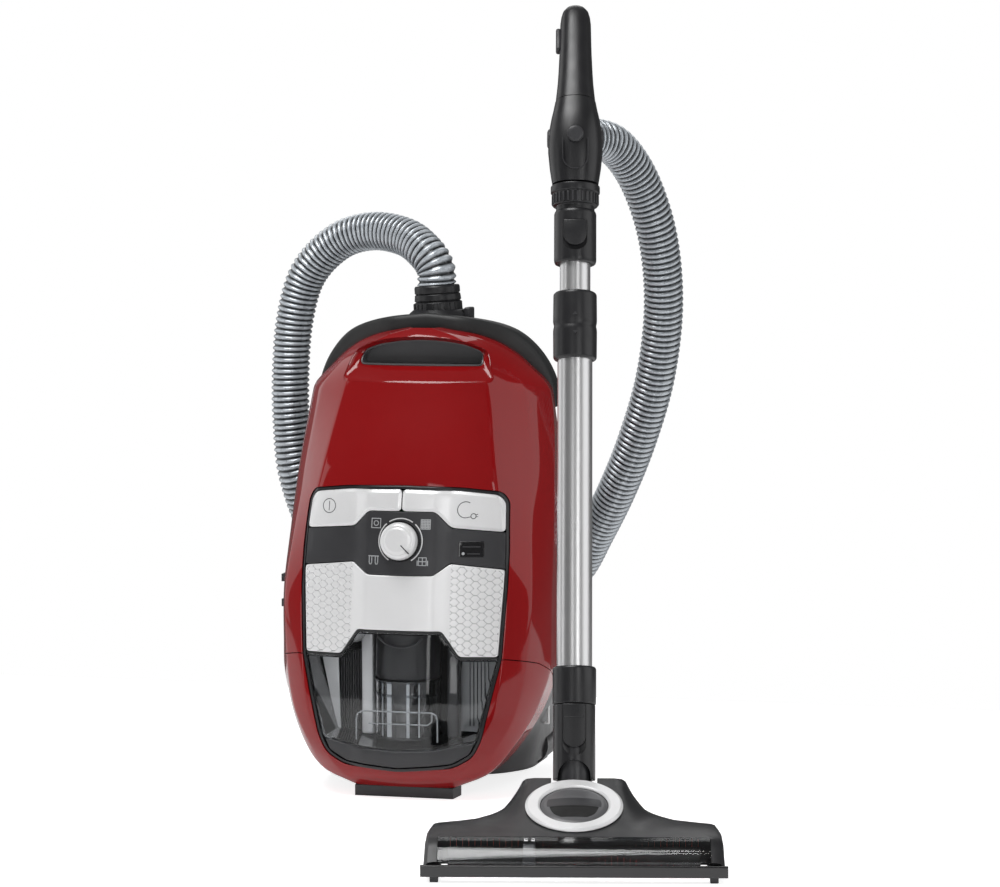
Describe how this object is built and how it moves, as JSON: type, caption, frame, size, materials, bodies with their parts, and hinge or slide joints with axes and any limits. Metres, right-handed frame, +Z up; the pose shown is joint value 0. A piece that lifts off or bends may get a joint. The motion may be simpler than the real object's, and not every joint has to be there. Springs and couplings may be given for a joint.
{
  "type": "canister vacuum cleaner",
  "caption": "Bagless canister vacuum cleaner with ribbed hose, telescopic wand and turbine floor head; upright on its rear end for storage.",
  "frame": {"origin": "on the floor under the canister, on its symmetry plane, at the joint of rear plate and front half", "axes": "+Z up, -Y is the side with the control panel, +X is the right of the machine as seen from its panel"},
  "size_m": [0.6081, 0.7494, 0.8228],
  "materials": {
    "red_lacquer": "high gloss moulded plastic",
    "black_plastic": "satin, fine moulded grain",
    "black_gloss": "gloss",
    "black_rubber": "matt",
    "dark_grey": "satin",
    "silver_plastic": "silver metallic lacquer",
    "clear_plastic": "clear polycarbonate",
    "steel_tube": "polished stainless steel",
    "motor_steel": "plain",
    "hose_grey": "silver grey ribs on a dark skin",
    "filter_white": "pleated paper",
    "board_green": "circuit board",
    "bristle_red": "nylon bristles"
  },
  "bodies": {
    "canister": {"upper_shell": "red_lacquer", "lower_shell": "red_lacquer", "wand_park_clip": "red_lacquer", "bumper_band": "black_rubber", "underbody": "black_plastic", "rear_plate": "dark_grey", "parking_foot": "black_rubber", "handle_liner": "black_plastic", "panel_frame": "black_plastic", "control_strip": "dark_grey", "indicator_window": "black_gloss", "panel_sill": "dark_grey", "circuit_board": "board_green", "motor_housing": "dark_grey", "fine_dust_filter": "filter_white", "hose_connector": "black_plastic", "hose_lower_run": "hose_grey", "head_socket": "black_plastic", "bottom_collar": "black_plastic", "lower_tube": "steel_tube"},
    "dial": {"selector_dial": "silver_plastic"},
    "power_key": {"power_button": "silver_plastic"},
    "rewind_key": {"cord_rewind_button": "silver_plastic"},
    "dust_container": {"dust_bowl": "clear_plastic", "cover_plate_left": "silver_plastic", "cover_plate_right": "silver_plastic", "cover_plate_center": "silver_plastic", "cover_seal": "black_rubber", "cyclone_core": "black_plastic", "inner_screen": "clear_plastic"},
    "fan": {"fan_impeller": "motor_steel"},
    "reel": {"cable_reel": "dark_grey"},
    "front_castor": {"castor_fork_front": "black_plastic"},
    "front_castor_wheel": {"castor_wheel_front": "dark_grey"},
    "left_castor": {"castor_fork_left": "black_plastic"},
    "left_castor_wheel": {"castor_wheel_left": "dark_grey"},
    "right_castor": {"castor_fork_right": "black_plastic"},
    "right_castor_wheel": {"castor_wheel_right": "dark_grey"},
    "connector_tab": {"connector_release": "black_plastic"},
    "upper_wand": {"upper_tube": "steel_tube", "top_collar": "black_plastic", "handle_hub": "black_plastic", "handle_grip": "black_plastic", "hose_upper_run": "hose_grey"},
    "wand_tab": {"wand_release_tab": "dark_grey"},
    "slider": {"suction_slider": "dark_grey"},
    "grip_key": {"grip_button": "dark_grey"},
    "cuff": {"hose_cuff": "black_plastic"},
    "sleeve": {"telescope_sleeve": "black_plastic"},
    "head_key": {"head_release_button": "dark_grey"},
    "neck_joint": {"neck": "dark_grey"},
    "floor_head": {"head_shell": "black_plastic", "head_sole": "dark_grey", "head_window": "clear_plastic", "front_strip": "black_gloss", "silver_ring": "silver_plastic", "turbine_dome": "dark_grey", "drive_belt": "black_rubber"},
    "turbine": {"turbine_wheel": "dark_grey"},
    "brush": {"brush_roller": "bristle_red"}
  },
  "joints": [
    {"name": "dial_turn", "type": "hinge", "parent": "canister", "child": "dial", "pos_m": [0, -0.0995, 0.2715], "axis": [0, -0.9903, 0.1392], "range_deg": [0, 270]},
    {"name": "power_button_press", "type": "slide", "parent": "canister", "child": "power_key", "axis": [0, 1, 0], "range_m": [0, 0.003], "stiffness_N_per_m": 400},
    {"name": "rewind_button_press", "type": "slide", "parent": "canister", "child": "rewind_key", "axis": [0, 1, 0], "range_m": [0, 0.003], "stiffness_N_per_m": 400},
    {"name": "container_pull", "type": "slide", "parent": "canister", "child": "dust_container", "axis": [0, -1, 0], "range_m": [0, 0.18]},
    {"name": "fan_spin", "type": "hinge", "parent": "canister", "child": "fan", "pos_m": [0, 0.055, 0.32], "axis": [0, 0, 1], "continuous": true},
    {"name": "reel_spin", "type": "hinge", "parent": "canister", "child": "reel", "pos_m": [0, 0.06, 0.12], "axis": [0, 1, 0], "continuous": true},
    {"name": "front_castor_swivel", "type": "hinge", "parent": "canister", "child": "front_castor", "pos_m": [0, 0.1368, 0.395], "axis": [0, 1, 0], "continuous": true},
    {"name": "front_castor_roll", "type": "hinge", "parent": "front_castor", "child": "front_castor_wheel", "pos_m": [0, 0.1533, 0.3895], "axis": [1, 0, 0], "continuous": true},
    {"name": "left_castor_swivel", "type": "hinge", "parent": "canister", "child": "left_castor", "pos_m": [-0.103, 0.1425, 0.0365], "axis": [0, 1, 0], "continuous": true},
    {"name": "left_castor_roll", "type": "hinge", "parent": "left_castor", "child": "left_castor_wheel", "pos_m": [-0.103, 0.159, 0.031], "axis": [1, 0, 0], "continuous": true},
    {"name": "right_castor_swivel", "type": "hinge", "parent": "canister", "child": "right_castor", "pos_m": [0.103, 0.1425, 0.0365], "axis": [0, 1, 0], "continuous": true},
    {"name": "right_castor_roll", "type": "hinge", "parent": "right_castor", "child": "right_castor_wheel", "pos_m": [0.103, 0.159, 0.031], "axis": [1, 0, 0], "continuous": true},
    {"name": "connector_release_press", "type": "slide", "parent": "canister", "child": "connector_tab", "axis": [-1, 0, 0], "range_m": [0, 0.0018], "stiffness_N_per_m": 400},
    {"name": "telescope", "type": "slide", "parent": "canister", "child": "upper_wand", "axis": [-0.0527, 0.2534, 0.9659], "range_m": [0, 0.28]},
    {"name": "wand_tab_press", "type": "slide", "parent": "upper_wand", "child": "wand_tab", "axis": [-0.1967, 0.9457, -0.2588], "range_m": [0, 0.0012], "stiffness_N_per_m": 400},
    {"name": "suction_slide", "type": "slide", "parent": "upper_wand", "child": "slider", "axis": [-0.1282, 0.6161, 0.7771], "range_m": [-0.004, 0.01]},
    {"name": "grip_button_press", "type": "slide", "parent": "upper_wand", "child": "grip_key", "axis": [-0.1967, 0.9457, -0.2588], "range_m": [0, 0.0025], "stiffness_N_per_m": 400},
    {"name": "cuff_swivel", "type": "hinge", "parent": "upper_wand", "child": "cuff", "pos_m": [0.19086, -0.12545, 0.68011], "axis": [-0.2029, 0.9753, 0.0872], "continuous": true},
    {"name": "sleeve_unlock", "type": "slide", "parent": "canister", "child": "sleeve", "axis": [-0.0527, 0.2534, 0.9659], "range_m": [0, 0.006], "stiffness_N_per_m": 300},
    {"name": "head_release_press", "type": "slide", "parent": "canister", "child": "head_key", "axis": [-0.1967, 0.9457, -0.2588], "range_m": [0, 0.0018], "stiffness_N_per_m": 400},
    {"name": "neck_swivel", "type": "hinge", "parent": "canister", "child": "neck_joint", "pos_m": [0.23127, -0.31974, 0.05], "axis": [-0.0527, 0.2534, 0.9659], "range_deg": [-40, 40]},
    {"name": "head_tilt", "type": "hinge", "parent": "neck_joint", "child": "floor_head", "pos_m": [0.23127, -0.31974, 0.05], "axis": [0.979, 0.2036, 0], "range_deg": [-14, 60]},
    {"name": "brush_spin", "type": "hinge", "parent": "floor_head", "child": "brush", "pos_m": [0.25347, -0.42645, 0.0185], "axis": [0.979, 0.2036, 0], "continuous": true},
    {"name": "turbine_spin", "type": "hinge", "parent": "floor_head", "child": "turbine", "pos_m": [0.24288, -0.37554, 0.031], "axis": [0.979, 0.2036, 0], "continuous": true}
  ],
  "couplings": [
    {"joint": "turbine_spin", "follows": "brush_spin", "ratio": 1.4167}
  ]
}
